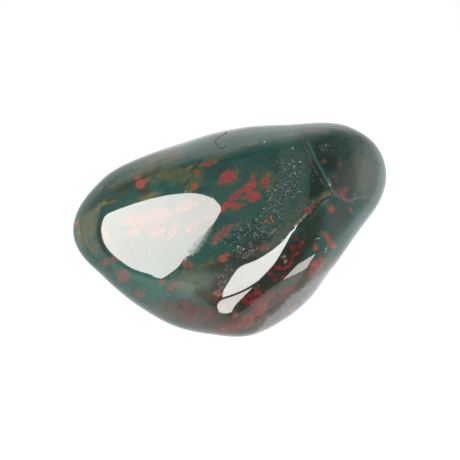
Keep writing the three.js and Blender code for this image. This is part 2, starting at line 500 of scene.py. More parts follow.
# The painted sheen's colour
PAINTED_SHEEN_GREY = (0.036, 0.082, 0.069)
OLIVE = (0.080, 0.080, 0.028)
DARK_OLIVE = (0.024, 0.034, 0.016)
GOLD = (0.150, 0.125, 0.030)
RED = (0.300, 0.046, 0.050)
PURE_RED = (0.180, 0.003, 0.005)
DARK_RED = (0.180, 0.040, 0.040)
BLACK_RED = (0.070, 0.006, 0.006)
DUST_RED = (0.170, 0.022, 0.024)
ORANGE = (0.300, 0.100, 0.036)
RUST = (0.130, 0.065, 0.036)
EARTH = (0.016, 0.009, 0.005)
DUSK = (0.110, 0.060, 0.065)
DULL_RED = (0.170, 0.058, 0.050)
PALE = (0.150, 0.152, 0.160)
LAVENDER = (0.118, 0.128, 0.150)
TAN = (0.230, 0.165, 0.095)
SLATE = (0.080, 0.105, 0.110)
BRIGHT = (0.500, 0.490, 0.450)
WHITE_PIT = (0.320, 0.360, 0.330)
DARK_PIT = (0.004, 0.012, 0.010)
PINK_VEIN = (0.130, 0.085, 0.070)
PALE_VEIN = (0.170, 0.140, 0.130)
SEAM_TEAL = (0.048, 0.112, 0.112)
VEIN_RED = (0.055, 0.012, 0.010)

# Zones of the ground in the order they are laid: field, softness of the edge, how much the
# coarse, ragged and fine noises break it up, colour, strength
GROUND_LAYERS = [
    # light teal: partly painted light along the crown
    ("light_teal", 1.3, 3.0, 1.0, 0.0, LIGHT_TEAL, 0.9),
    ("open_teal", 1.3, 2.5, 1.0, 0.0, OPEN_TEAL, 0.85),
    ("grey", 0.9, 2.0, 1.2, 0.0, GREY_GREEN, 0.9),
    ("leaf", 0.6, 1.5, 1.6, 0.6, LEAF, 0.7),
    ("sage", 0.7, 1.0, 1.2, 0.4, SAGE, 0.8),
    ("brown", 0.9, 1.4, 1.6, 0.6, BROWN, 0.85),
    ("bark", 0.7, 1.2, 1.2, 0.6, BARK, 0.85),
    # umber: painted shade on the side that shows, dark olive-brown blots on the hidden side
    ("umber", 0.6, 1.5, 1.2, 0.6, UMBER, 0.85),
    ("fringe", 0.5, 1.0, 1.0, 0.6, FRINGE, 0.85),
    ("smoke", 0.8, 1.5, 0.6, 0.0, SMOKE, 0.8),
    # a painted sheen beside the long crack
    ("painted_sheen", 0.5, 1.0, 0.8, 0.0, PAINTED_SHEEN_GREY, 0.75),
    ("fawn", 0.5, 0.8, 1.6, 1.6, FAWN, 0.75),
    # dark: painted shade on the side that shows, near-black blots on the hidden side
    ("dark", 0.6, 1.5, 0.8, 0.4, NEAR_BLACK, 0.85),
    ("earth", 0.6, 1.2, 1.2, 0.6, EARTH, 0.85),
    # deep green: painted shade on the side that shows, deep green blots on the hidden side
    ("deep_green", 0.7, 1.5, 1.2, 0.4, DEEP_GREEN, 0.9),
    # painted shade beside the long crack
    ("painted_shade_wedge", 0.15, 0.0, 0.3, 0.15, DEEP_GREEN, 0.85),
    # moss: painted shadow on the side that shows, dark olive blots on the hidden side
    ("moss", 0.35, 0.6, 1.0, 0.8, MOSS, 0.7),
    ("stain", 0.25, 0.4, 0.8, 0.4, STAIN, 0.85),
]

# Noises that break up the marks: features to the millimetre, detail, roughness, and a shift that
# sets each apart from the others
NOISES = {
    "coarse": (0.28, 3, 0.5, 0.0),
    "middle": (0.8, 3, 0.6, 1.0),
    "ragged": (1.6, 3, 0.6, 2.0),
    "fine": (4.5, 2, 0.6, 3.0),
    "grain": (8.0, 1, 0.5, 4.0),
    "flecks": (2.4, 2, 0.5, 7.0),
    "gaps": (3.2, 2, 0.6, 8.0),
    "speckle": (2.6, 3, 0.6, 9.0),
    "squiggles": (4.6, 1, 0.5, 10.0),
    "squiggle_patches": (2.0, 2, 0.5, 11.0),
    "pits": (5.0, 1, 0.5, 13.0),
}
# The fibrous noise, read along the squeezed place: features to the millimetre, detail, roughness
STREAKS = (1.5, 3, 0.6)
# The round white pits: cells to the millimetre, the largest radius in cells, and the shift
ROUND_PITS = (5.0, 0.40, 12.0)

# Gloss: the polish, what haze and frost add to it, and what chips and pits have of their own
POLISH_ROUGHNESS = 0.02
HAZE_ROUGHNESS = 0.015
FROST_ROUGHNESS = 0.4
CHIP_ROUGHNESS = 0.3
PIT_ROUGHNESS = 0.6
CHALCEDONY_IOR = 1.54

# Bump: its depth in millimetres for a height of one, then each finish's share of that height
BUMP_DEPTH = 0.03
WHITE_PIT_HOLLOW = 0.5
DARK_PIT_HOLLOW = 0.3
CHIP_RUBBLE = 4.0
FROST_RUBBLE = 0.8

# Stage, in metres: all but the floor stands well outside the way of a camera round the stone
FLOOR_RADIUS = 3.0
PANEL_DISTANCE = 1.0
WALL_DISTANCE = 1.5
# The room's own dim light, and the softboxes' slightly warm white
ROOM_GLOW = 0.3
PANEL_WHITE = (1.0, 0.95, 0.905)

# The floor's glow, by azimuth in degrees from the rear round by the right: close and far
FLOOR_GLOWS = [
    (-120, 1.05, 0.9),
    (-60, 1.0, 0.75),
    (-27, 1.0, 0.95),
    (-12, 1.0, 1.2),
    (3, 1.05, 1.6),
    (14, 1.3, 1.9),
    (24, 1.3, 1.4),
    (33, 1.0, 0.6),
    (41, 1.0, 0.5),
    (50, 1.4, 0.7),
    (65, 2.0, 0.8),
    (78, 2.2, 0.7),
    (90, 2.2, 0.5),
    (96, 1.9, 0.5),
    (104, 2.1, 0.5),
    (112, 2.2, 0.6),
    (130, 1.6, 0.9),
    (180, 1.2, 1.0),
]
# Radii of the floor's rings in metres, and how close each still counts
FLOOR_RINGS = [
    (0.02, 1.0), (0.055, 1.0), (0.065, 0.55), (0.085, 0.35), (0.13, 0.1), (0.3, 0.0),
    (FLOOR_RADIUS, 0.0),
]
FLOOR_SECTORS = 72

# Softboxes and cards, by the outlines that the polished stone shows to the eye, across and up in
# the outline's plane in millimetres; then their glow. An outline is a round of sides, each a smooth
# curve through its points up to where the next side starts.
PANELS = {
    "left_softbox": (
        [
            [(-16.6, 2.0), (-15.9, 2.4), (-12.3, 3.7), (-8.4, 4.65), (-4.8, 4.9), (-2.2, 4.2)],
            [(-2.2, 4.2), (-1.3, 3.2), (-1.25, 2.5)],
            [(-1.25, 2.5), (-2.1, 1.0), (-3.0, -0.1), (-4.3, -2.3), (-4.8, -3.0)],
            [(-4.8, -3.0), (-6.1, -3.8), (-6.9, -4.9), (-8.3, -6.0), (-9.2, -6.5)],
            [(-9.2, -6.5), (-10.0, -6.35), (-10.7, -5.95), (-12.5, -5.4), (-13.6, -4.9)],
            [(-13.6, -4.9), (-15.7, -3.3), (-16.9, -1.7), (-17.25, 0), (-17, 1.4), (-16.6, 2.0)],
        ],
        13.5,
    ),
    "front_softbox": (
        [
            [(8.05, -0.3), (8.25, -0.3), (8.35, -0.35)],
            [(8.35, -0.35), (6.8, -3.15), (5.7, -4.8), (3.9, -6.7)],
            [(3.9, -6.7), (1.8, -8.0), (-1.0, -9.05)],
            [(-1.0, -9.05), (-0.8, -8.0), (0.7, -5.6)],
            [(0.7, -5.6), (1.6, -4.8), (3.6, -4.0), (5.6, -2.75), (7.05, -1.55), (8.05, -0.3)],
        ],
        16.5,
    ),
    "front_card": (
        [
            [(-1.0, -9.35), (1.0, -8.65), (3.05, -7.7)],
            [(3.05, -7.7), (0.9, -9.85), (0.2, -11)],
            [(0.2, -11), (-0.6, -11.2), (-1.4, -11), (-1.7, -10.3), (-1.5, -9.7), (-1.0, -9.35)],
        ],
        14.0,
    ),
    "corner_card": (
        [
            [(11.45, -3.2), (9.1, -4.6)],
            [(9.1, -4.6), (7.1, -6.7)],
            [(7.1, -6.7), (9.8, -5.4), (10.6, -4.6), (11.45, -3.2)],
        ],
        9.0,
    ),
}
# How many steps draw each stretch of these curves
STEPS_TO_A_POINT = 4

# Walls that give the stone's rims their sheen, from left to right: azimuth, rises of the foot, of
# the end of the full glow and of the top in degrees, then the full glow and the glow at the top
WALLS = {
    "back_wall": [
        (-60, 0, 9, 12, 0.5, 0.3), (-55, 0, 14.5, 17, 0.5, 0.3), (-50, 0, 16, 19.5, 0.5, 0.35),
        (-45, 0, 18, 24, 0.55, 0.35), (-33, 0, 22, 29, 0.8, 0.35), (-22, 0, 21, 31, 1.0, 0.35),
        (-13, 0, 21, 33, 1.2, 0.35), (0, 0, 26, 34, 1.55, 0.35), (4, 0, 22, 33, 1.6, 0.35),
        (6, 0, 15, 32, 1.6, 0.35), (8, 0, 12, 30, 1.55, 0.35), (11, 0, 9, 27, 1.5, 0.35),
        (14, 0, 9, 26, 1.3, 0.35), (17, 0, 6, 25, 1.05, 0.35), (20, 0, 4, 20, 0.95, 0.3),
        (25, 0, 4, 18, 0.8, 0.3), (33, 0, 4, 18, 0.6, 0.3),
    ],
    "dark_strip": [
        (-60, 12, 12.5, 14.5, 0.05, 0.15), (-55, 17, 17.5, 19, 0.05, 0.15),
        (-50, 19.5, 20, 22, 0.05, 0.15), (-45, 24, 24.5, 27, 0.05, 0.15),
        (-33, 29, 31, 34, 0.1, 0.15), (-13, 36.5, 37, 39, 0.1, 0.15),
        (0, 36.5, 37, 39, 0.1, 0.15), (8, 35, 36, 38, 0.1, 0.15), (11, 30, 31, 33, 0.15, 0.15),
    ],
    "right_wall": [
        (33, 0, 4, 18, 0.6, 0.3), (55, 0, 8, 14, 0.5, 0.3), (75, 0, 6, 10, 0.5, 0.3),
        (100, 0, 4, 8, 0.5, 0.3),
    ],
    "left_wall": [
        (-140, 0, 8.5, 9, 1.15, 1.1), (-125, 0, 10, 10.5, 1.15, 1.1), (-110, 0, 6.5, 7, 1.15, 1.1),
        (-95, 0, 9.5, 10, 1.15, 1.1), (-88, 0, 9.8, 10.3, 1.15, 1.1), (-60, 0, 9, 9.6, 1.15, 1.1),
    ],
    "front_wall": [
        (105, 0, 0, 0.1, 1.4, 1.3), (109, 0, 2, 2.5, 1.4, 1.3), (113, 0, 5, 5.5, 1.4, 1.3),
        (118, 0, 8.7, 9.2, 1.4, 1.3), (125, 0, 11.3, 11.8, 1.4, 1.3),
        (134, 0, 13.7, 14.2, 1.4, 1.3), (143, 0, 14.3, 14.8, 1.4, 1.3),
        (151, 0, 13.7, 14.2, 1.4, 1.3), (162, 0, 11.5, 12, 1.4, 1.3), (172, 0, 7.8, 8.3, 1.4, 1.3),
        (182, 0, 2.5, 3, 1.4, 1.3), (186, 0, 0, 0.1, 1.4, 1.3),
    ],
}

# Camera: the width of its sensor, and the width that it frames at the stone's heart before the
# stone is scaled, both in millimetres; then how near it starts to see, in metres
SENSOR_WIDTH = 36
FRAME_WIDTH = 61.7
CLIP_START = 0.01


def seen_axes(points):
    """Turns points of the part's frame to the outline's: right, up, and towards the eye."""
    x, y, z = points.T
    sine = math.sin(OUTLINE_RISE)
    cosine = math.cos(OUTLINE_RISE)
    return np.stack([x, y * sine + z * cosine, z * sine - y * cosine], axis=1)


def part_axes(seen):
    """Turns points of the outline's axes back to the part's frame."""
    right, up, near = seen.T
    sine = math.sin(OUTLINE_RISE)
    cosine = math.cos(OUTLINE_RISE)
    return np.stack([right, up * sine - near * cosine, up * cosine + near * sine], axis=1)


def direction_of(bearing, rise):
    """The unit direction with this bearing and this rise above the ground, in degrees."""
    bearing = math.radians(bearing)
    rise = math.radians(rise)
    flat = math.cos(rise)
    return np.array([flat * math.cos(bearing), flat * math.sin(bearing), math.sin(rise)])


def smooth_between(before, first, second, after, t):
    """Catmull-Rom: the cubic from the first value to the second, each passed in the direction that
    runs from the value before it to the value after it."""
    cubic = 3 * (first - second) + after - before
    square = 2 * before - 5 * first + 4 * second - after
    return first + 0.5 * t * (second - before + t * (square + t * cubic))


def outline_reach(angle):
    """A smooth closed curve through the outline's values, one every 20 degrees."""
    count = len(OUTLINE)
    place = np.mod(angle / (2 * math.pi), 1) * count
    start = np.floor(place).astype(int) % count
    neighbours = (OUTLINE[(start + k) % count] for k in (-1, 0, 1, 2))
    return smooth_between(*neighbours, place - np.floor(place))


def body_reach(seen):
    """A superellipse from the leaning rim to the front and the back."""
    depth = seen[:, 2] + RIM_LEAN_BACK * seen[:, 1] - RIM_LEAN_RIGHT * seen[:, 0]
    across = np.hypot(seen[:, 0], seen[:, 1]) / outline_reach(np.arctan2(seen[:, 1], seen[:, 0]))
    along = np.abs(depth) / np.where(depth > 0, FRONT_DEPTH, BACK_DEPTH)
    return (across**BODY_FULLNESS + along**BODY_FULLNESS) ** (-1 / BODY_FULLNESS)


def face_reach(directions, face):
    """Distance to one domed face, a large sphere around a far centre."""
    bearing, rise, distance, dome = face
    behind = dome - distance
    lean = directions @ direction_of(bearing, rise) * behind
    return np.sqrt(lean**2 - behind**2 + dome**2) - lean


def distance_to_line(points, start, end):
    """Distance in the plane from each point to the stretch between start and end."""
    start = np.array(start)
    span = np.array(end) - start
    share = np.clip((points - start) @ span / (span @ span), 0, 1)
    return np.hypot(*(points - start - share[:, None] * span).T)


def smoothstep(value, low, high):
    """From 0 at low to 1 at high: three squares less two cubes of the share between them."""
    t = np.clip((value - low) / (high - low), 0, 1)
    return t * t * (3 - 2 * t)


def surface_reach(directions):
    """Distance from the heart to the surface: a soft minimum of the body and its ground faces,
    with the low relief added on the upper side and the flat seat cut below."""
    seen = seen_axes(directions)
    total = body_reach(seen) ** -FACE_SHARPNESS
    for face in FACES:
        total += face_reach(directions, face) ** -FACE_SHARPNESS
    reach = total ** (-1 / FACE_SHARPNESS)
    frontness = smoothstep(seen[:, 2] + RIM_LEAN_BACK * seen[:, 1], 0, RELIEF_FADE)
    places = seen[:, :2] * reach[:, None]
    for start, end, width, height in RELIEF:
        away = distance_to_line(places, start, end)
        reach = reach + height * frontness * np.exp(-((away / width) ** 2))
    below = directions[:, 2] < 0
    reach[below] = np.minimum(reach[below], -SEAT_BELOW_HEART / directions[below, 2])
    return reach


def height_over(points):
    """How far points stand out beyond the surface, measured from the heart."""
    reach = np.linalg.norm(points, axis=1)
    return reach - surface_reach(points / reach[:, None])


def box_grid():
    """An even grid over a box: its corner points, shared where faces meet, and its four-sided
    cells, turned outwards."""
    corners = []
    for axis in range(3):
        first, second = (axis + 1) % 3, (axis + 2) % 3
        u, v = np.meshgrid(
            np.arange(GRID_CELLS[first]), np.arange(GRID_CELLS[second]), indexing="ij"
        )
        for side in (0, 1):
            turns = [(0, 0), (1, 0), (1, 1), (0, 1)]
            if side == 0:
                turns.reverse()
            cell = np.zeros((u.size, 4, 3), int)
            for k, (du, dv) in enumerate(turns):
                cell[:, k, axis] = side * GRID_CELLS[axis]
                cell[:, k, first] = u.ravel() + du
                cell[:, k, second] = v.ravel() + dv
            corners.append(cell)
    corners = np.concatenate(corners)
    places, index = np.unique(corners.reshape(-1, 3), axis=0, return_inverse=True)
    points = (places / np.array(GRID_CELLS) - 0.5) * np.array(GRID_BOX)
    return points, index.reshape(-1, 4)


def fit_to_solid(points):
    """Moves and scales points from the heart's frame, so that they fill the solid's box.
    Returns the new points, and the scale and shift that did it."""
    low, high = (np.array(corner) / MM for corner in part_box("stone"))
    scale = (high[0] - low[0]) / np.ptp(points[:, 0])
    middle = (points.min(0) + points.max(0)) / 2
    shift = (low + high) / 2 - middle * scale
    shift[2] = low[2] - points[:, 2].min() * scale
    return points * scale + shift, scale, shift


def make_mesh(name, points, cells):
    """A smooth piece of four-sided cells, from points in millimetres."""
    mesh = bpy.data.meshes.new(name)
    mesh.vertices.add(len(points))
    mesh.vertices.foreach_set("co", (points * MM).astype(np.float32).ravel())
    mesh.loops.add(cells.size)
    mesh.loops.foreach_set("vertex_index", cells.astype(np.int32).ravel())
    mesh.polygons.add(len(cells))
    mesh.polygons.foreach_set("loop_start", np.arange(0, cells.size, 4, dtype=np.int32))
    mesh.update(calc_edges=True)
    mesh.shade_smooth()
    piece = bpy.data.objects.new(name, mesh)
    bpy.context.scene.collection.objects.link(piece)
    return piece


def nearest_in_sight(sight, seen, place):
    """The front surface point that the eye sees at a place of the outline's plane."""
    away = np.hypot(*(sight - place).T) - NEARER_FIRST * seen[:, 2]
    return seen[np.argmin(away)]


def closeness(offsets, axes, halves):
    """How far inside an ellipsoid each offset lies, in millimetres along its narrowest way:
    one minus the scaled distance, times that half width."""
    scaled = offsets @ np.array(axes).T / np.array(halves)
    return (1 - np.linalg.norm(scaled, axis=1)) * min(halves)


def spot_field(seen, sight, spots, hidden):
    """The largest closeness to any of the spots, on the side that shows and on the hidden one."""
    field = np.full(len(seen), FAR_OUTSIDE)
    for across, up, long, wide, turn in spots:
        turn = math.radians(turn)
        centre = nearest_in_sight(sight, seen, (across, up))
        along = (math.cos(turn), math.sin(turn), 0)
        aside = (-math.sin(turn), math.cos(turn), 0)
        halves = (long, wide, SPOT_DEPTH * max(long, wide))
        field = np.maximum(field, closeness(seen - centre, (along, aside, (0, 0, 1)), halves))
    for centre, axes, halves in hidden:
        field = np.maximum(field, closeness(seen - centre, axes, halves))
    return field


def zone_field(sight, corners):
    """Distance to the edge of a closed outline in the plane, positive inside."""
    corners = np.array(corners)
    away = np.full(len(sight), np.inf)
    inside = np.zeros(len(sight), bool)
    for start, end in zip(corners, np.roll(corners, -1, axis=0)):
        away = np.minimum(away, distance_to_line(sight, start, end))
        straddles = (start[1] > sight[:, 1]) != (end[1] > sight[:, 1])
        rise = end[1] - start[1]
        if rise != 0:
            crossing = start[0] + (sight[:, 1] - start[1]) * (end[0] - start[0]) / rise
            inside ^= straddles & (sight[:, 0] < crossing)
    return np.where(inside, away, -away)


def line_field(sight, points):
    """For a line through points: distance to its left or right side, share of the way along it,
    and plain distance."""
    points = np.array(points)
    lengths = np.linalg.norm(np.diff(points, axis=0), axis=1)
    before = np.concatenate([[0], np.cumsum(lengths)])
    best = np.full(len(sight), np.inf)
    side = np.zeros(len(sight))
    along = np.zeros(len(sight))
    for k, (start, end) in enumerate(zip(points[:-1], points[1:])):
        span = end - start
        share = np.clip((sight - start) @ span / (span @ span), 0, 1)
        offset = sight - start - share[:, None] * span
        away = np.hypot(*offset.T)
        turn = span[0] * (sight[:, 1] - start[1]) - span[1] * (sight[:, 0] - start[0])
        nearer = away < best
        best = np.where(nearer, away, best)
        side = np.where(nearer, turn / lengths[k], side)
        along = np.where(nearer, (before[k] + share * lengths[k]) / before[-1], along)
    return np.stack([side, along, best], axis=1)


def hidden_spots(seen, normals, count, long_range, wide_share, seed):
    """Spots on the side that the eye doesn't see: seeded places, each lying in its own tangent
    plane and turned at random."""
    draw = np.random.default_rng(seed)
    back = np.flatnonzero(normals[:, 2] < HIDDEN_TURN)
    spots = []
    for index in draw.choice(back, count, replace=False):
        normal = normals[index]
        loose = draw.normal(size=3)
        along = loose - normal * (loose @ normal)
        along /= np.linalg.norm(along)
        aside = np.cross(normal, along)
        long = draw.uniform(*long_range)
        wide = long * draw.uniform(*wide_share)
        spots.append((seen[index], (along, aside, normal), (long, wide, HIDDEN_SPOT_DEPTH * long)))
    return spots


def write_field(mesh, name, values):
    """Keeps a number, or three, at each point of a mesh under a name that materials read."""
    if values.ndim == 1:
        mesh.attributes.new(name, "FLOAT", "POINT").data.foreach_set(
            "value", values.astype(np.float32)
        )
    else:
        mesh.attributes.new(name, "FLOAT_VECTOR", "POINT").data.foreach_set(
            "vector", values.astype(np.float32).ravel()
        )


def write_marks(mesh, drawn, normals):
    """Stores each kind of mark as a field on the surface, worked out from the drawn form. The
    pale band runs round the stone, and the other zones and the lines stay on the front."""
    seen = seen_axes(drawn)
    turned = seen_axes(normals)
    sight = seen[:, :2] * (SIGHT_DISTANCE / (SIGHT_DISTANCE - seen[:, 2]))[:, None]
    for name, (spots, *hidden) in SPOTS.items():
        others = hidden_spots(seen, turned, *hidden)
        write_field(mesh, name, spot_field(seen, sight, spots, others))
    front = smoothstep(turned[:, 2], 0.0, 0.2)
    write_field(mesh, "pale_band", zone_field(sight, PALE_BAND))
    for name, corners in (("painted_shade_wedge", PAINTED_SHADE_WEDGE), ("painted_sheen", PAINTED_SHEEN_ZONE)):
        write_field(mesh, name, np.where(front > 0, zone_field(sight, corners), FAR_OUTSIDE))
    for name, points in LINES.items():
        field = line_field(sight, points)
        field[:, 2] -= FAR_OUTSIDE * (1 - front)
        write_field(mesh, name, field)


class Wiring:
    """Adds shader nodes to one tree and links them. A value is a socket or a plain number."""

    def __init__(self, tree):
        """Starts with the place in millimetres, and the place squeezed along the fibres."""
        self.tree = tree
        coordinates = self.node("ShaderNodeTexCoord").outputs["Object"]
        self.place = self.vector("SCALE", coordinates, scale=1 / MM)
        along = self.vector("DOT_PRODUCT", self.place, STREAK_DIRECTION)
        drawn_in = self.vector("SCALE", STREAK_DIRECTION, scale=self.times(along, STREAK_STRETCH))
        self.streaked = self.vector("SUBTRACT", self.place, drawn_in)

    def put(self, socket, value):
        """Links a socket to another, or sets its number or colour."""
        if isinstance(value, bpy.types.NodeSocket):
            self.tree.links.new(value, socket)
        elif socket.type == "RGBA":
            socket.default_value = (*value, 1)
        else:
            socket.default_value = value

    def node(self, kind, settings=None, **inputs):
        """A new node with these settings and these inputs."""
        made = self.tree.nodes.new(kind)
        for name, value in (settings or {}).items():
            setattr(made, name, value)
        for name, value in inputs.items():
            self.put(made.inputs[name], value)
        return made

    def maths(self, operation, first, second=0.0, third=0.0):
        """One operation on up to three values."""
        made = self.node("ShaderNodeMath", {"operation": operation})
        for socket, value in zip(made.inputs, (first, second, third)):
            self.put(socket, value)
        return made.outputs[0]

    def plus(self, first, second):
        """The sum of two values."""
        return self.maths("ADD", first, second)

    def times(self, first, second):
        """The product of two values, which for two masks is where both are."""
        return self.maths("MULTIPLY", first, second)

    def vector(self, operation, first, second=None, scale=None):
        """One operation on vectors; a dot product puts out a value, the others a vector."""
        made = self.node("ShaderNodeVectorMath", {"operation": operation})
        self.put(made.inputs[0], first)
        if second is not None:
            self.put(made.inputs[1], second)
        if scale is not None:
            self.put(made.inputs["Scale"], scale)
        return made.outputs["Value" if operation == "DOT_PRODUCT" else "Vector"]

    def shifted(self, shift):
        """The place in millimetres, moved so that noises don't repeat each other."""
        return self.vector("ADD", self.place, (shift, -shift, 2 * shift))

    def noise(self, per_mm, detail=2.0, roughness=0.5, shift=0.0, place=None):
        """Noise around zero, with this many features to the millimetre."""
        made = self.node(
            "ShaderNodeTexNoise",
            Vector=place or self.shifted(shift),
            Scale=per_mm,
            Detail=detail,
            Roughness=roughness,
        )
        return self.maths("SUBTRACT", made.outputs["Fac"], 0.5)

    def dots(self, per_mm, largest, shift):
        """Round dots, one at most to a cell, most of them much smaller than the largest."""
        cells = self.node("ShaderNodeTexVoronoi", Vector=self.shifted(shift), Scale=per_mm)
        draw = self.node("ShaderNodeSeparateColor", Color=cells.outputs["Color"])
        reach = self.times(self.maths("POWER", draw.outputs[0], 2.5), largest)
        inside = self.maths("SUBTRACT", reach, cells.outputs["Distance"])
        return self.step(inside, -0.02, 0.06)

    def step(self, value, low, high, bottom=0.0, top=1.0):
        """Smoothly from bottom at low to top at high."""
        made = self.node("ShaderNodeMapRange", {"interpolation_type": "SMOOTHSTEP"})
        self.put(made.inputs["Value"], value)
        for name, number in (
            ("From Min", low),
            ("From Max", high),
            ("To Min", bottom),
            ("To Max", top),
        ):
            made.inputs[name].default_value = number
        return made.outputs["Result"]

    def mix(self, share, first, second, blend="MIX"):
        """The first colour with a share of the second laid over it. A mix node has sockets for
        numbers and vectors too, so the share and the two colours are known by their places."""
        made = self.node("ShaderNodeMix", {"data_type": "RGBA", "blend_type": blend})
        for socket, value in zip((0, 6, 7), (share, first, second)):
            self.put(made.inputs[socket], value)
        return made.outputs[2]

    def field(self, name):
        """A number that the mesh keeps under a name."""
        made = self.node("ShaderNodeAttribute", {"attribute_name": name})
        return made.outputs["Fac"]

    def line(self, name):
        """A line's side, its share of the way along, and its plain distance."""
        made = self.node("ShaderNodeAttribute", {"attribute_name": name})
        parts = self.node("ShaderNodeSeparateXYZ", Vector=made.outputs["Vector"])
        return parts.outputs[0], parts.outputs[1], parts.outputs[2]


class StoneColour:
    """Lays the stone's marks over each other, and keeps the masks that also shape the gloss. The
    two numbers of a step are where a mark starts and where it is full: a field's are in
    millimetres inside the mark's edge, a noise's run from about -0.3 to 0.3."""

    def __init__(self, wiring):
        """Starts with the plain ground, deep teal drawn out along the fibres into teal."""
        self.wiring = wiring
        self.coarse = self.noise("coarse")
        self.middle = self.noise("middle")
        self.ragged = self.noise("ragged")
        self.fine = self.noise("fine")
        self.streaks = wiring.noise(*STREAKS, place=wiring.streaked)
        fibrous = wiring.step(wiring.plus(self.coarse, self.streaks), -0.15, 0.15)
        self.colour = wiring.mix(fibrous, DEEP_TEAL, TEAL)

    def noise(self, name):
        """One of the noises of the table."""
        return self.wiring.noise(*NOISES[name])

    def broken(self, value, coarse=0.0, ragged=0.0, fine=0.0):
        """A value with noises added in these shares."""
        for share, source in ((coarse, self.coarse), (ragged, self.ragged), (fine, self.fine)):
            if share:
                value = self.wiring.maths("MULTIPLY_ADD", source, share, value)
        return value

    def mask(self, name, soft, coarse=0.0, ragged=0.0, fine=0.0):
        """A mark's field with its edge broken up by noise, as a mask."""
        value = self.broken(self.wiring.field(name), coarse, ragged, fine)
        return self.wiring.step(value, -soft, soft)

    def lay(self, share, colour, strength):
        """Lays a colour over what is there, where the share says and at most at this strength."""
        self.colour = self.wiring.mix(self.wiring.times(share, strength), self.colour, colour)

    def lay_ground(self):
        """The zones, with painted shade, painted shadow and a painted sheen among them, a darker
        olive along the fibres and in blots, then olive, ochre, scratches.
        """
        step = self.wiring.step
        for name, soft, coarse, ragged, fine, colour, strength in GROUND_LAYERS:
            self.lay(self.mask(name, soft, coarse, ragged, fine), colour, strength)
        self.lay(step(self.streaks, 0.04, 0.18), DARK_OLIVE, 0.35)
        self.lay(step(self.middle, 0.05, 0.20), DARK_OLIVE, 0.3)
        patchy = step(self.broken(self.middle, ragged=0.8), -0.14, 0.08, 0.5, 1.0)
        olive = self.mask("olive", 0.4, 0.8, 1.6, 0.5)
        self.lay(self.wiring.times(olive, patchy), OLIVE, 0.75)
        self.lay(self.mask("gold", 0.13, 0.0, 0.7, 0.5), GOLD, 0.7)
        self.lay(self.mask("scratch", 0.05, 0.0, 0.3, 0.2), NEAR_BLACK, 0.75)

    def mottled_red(self, value, flecks, dark):
        """The bright spots' colour: red in a darker red, both deeper where the dark flank's painted
        shade lies, with orange flecks in a spot's heart and dusky gaps."""
        wiring = self.wiring
        step = wiring.step
        red = wiring.mix(dark, RED, PURE_RED)
        deep = wiring.mix(dark, DARK_RED, BLACK_RED)
        colour = wiring.mix(step(self.fine, -0.14, 0.06), deep, red)
        heart = wiring.times(step(flecks, 0.03, 0.12), step(value, 0.1, 0.4))
        colour = wiring.mix(wiring.times(heart, 0.7), colour, ORANGE)
        return wiring.mix(wiring.times(step(self.noise("gaps"), 0.05, 0.13), 0.6), colour, DUSK)

    def lay_reds(self):
        """Dull red patches, then bright red spots in a broken olive halo that is missing under the
        dark flank's painted shade, then red dust."""
        wiring = self.wiring
        step = wiring.step
        patchy = step(self.broken(self.fine, ragged=0.8), -0.15, 0.10, 0.4, 1.0)
        dull = self.mask("dull", 0.25, 0.4, 1.2, 0.6)
        self.lay(wiring.times(dull, patchy), DULL_RED, 0.85)
        flecks = self.noise("flecks")
        # The painted shade of the dark flank, which deepens the reds and takes away their halo
        dark = self.mask("dark", 0.6)
        value = wiring.field("vivid")
        edge = self.broken(value, ragged=0.75, fine=0.2)
        halo = wiring.times(step(edge, -0.32, -0.10), step(flecks, -0.10, 0.06))
        halo = wiring.times(halo, wiring.maths("SUBTRACT", 1.0, dark))
        self.lay(halo, OLIVE, 0.7)
        self.lay(step(edge, -0.11, 0.10), self.mottled_red(value, flecks, dark), 0.92)
        speckle = wiring.plus(self.noise("speckle"), wiring.times(self.middle, 0.5))
        dust = wiring.times(step(speckle, 0.0, 0.11), self.mask("red_dust", 0.8, 1.5, 1.2))
        self.lay(dust, DUST_RED, 0.75)

    def lay_pale_band(self):
        """The chalcedony band, cloudy between lavender and pale, with a rusty seam along its edge,
        and the beige and slate-blue flecks."""
        wiring = self.wiring
        edge = self.broken(wiring.field("pale_band"), coarse=1.0, ragged=0.9, fine=0.35)
        rusty = wiring.times(wiring.step(edge, -0.6, -0.1), wiring.step(edge, 0.3, 0.0))
        rusty = wiring.times(rusty, wiring.step(self.middle, -0.10, 0.08, 0.2, 1.0))
        self.lay(rusty, RUST, 0.6)
        cloudy = wiring.mix(wiring.step(self.middle, -0.15, 0.15), LAVENDER, PALE)
        self.lay(wiring.step(edge, -0.1, 0.45), cloudy, 0.95)
        self.lay(self.mask("tan", 0.08, 0.0, 0.5, 0.5), TAN, 0.7)
        self.lay(self.mask("slate", 0.14, 0.0, 0.5, 0.3), SLATE, 0.7)

    def lay_pits(self):
        """The hazy patches' white pits, which are thin squiggles where a noise crosses zero and
        round dots, and dark pits, which are also scattered thinly over all the stone."""
        wiring = self.wiring
        step = wiring.step
        self.haze = self.mask("haze", 0.8, 1.5, 1.4)
        squiggles = step(wiring.maths("ABSOLUTE", self.noise("squiggles")), 0.035, 0.010)
        squiggles = wiring.times(squiggles, step(self.noise("squiggle_patches"), -0.01, 0.07))
        pits = wiring.maths("MAXIMUM", squiggles, wiring.dots(*ROUND_PITS))
        self.white_pits = wiring.times(pits, self.haze)
        self.lay(self.white_pits, WHITE_PIT, 0.65)
        pits = step(self.noise("pits"), 0.05, 0.12)
        self.dark_pits = wiring.times(pits, wiring.plus(self.haze, 0.1))
        self.lay(self.dark_pits, DARK_PIT, 0.85)

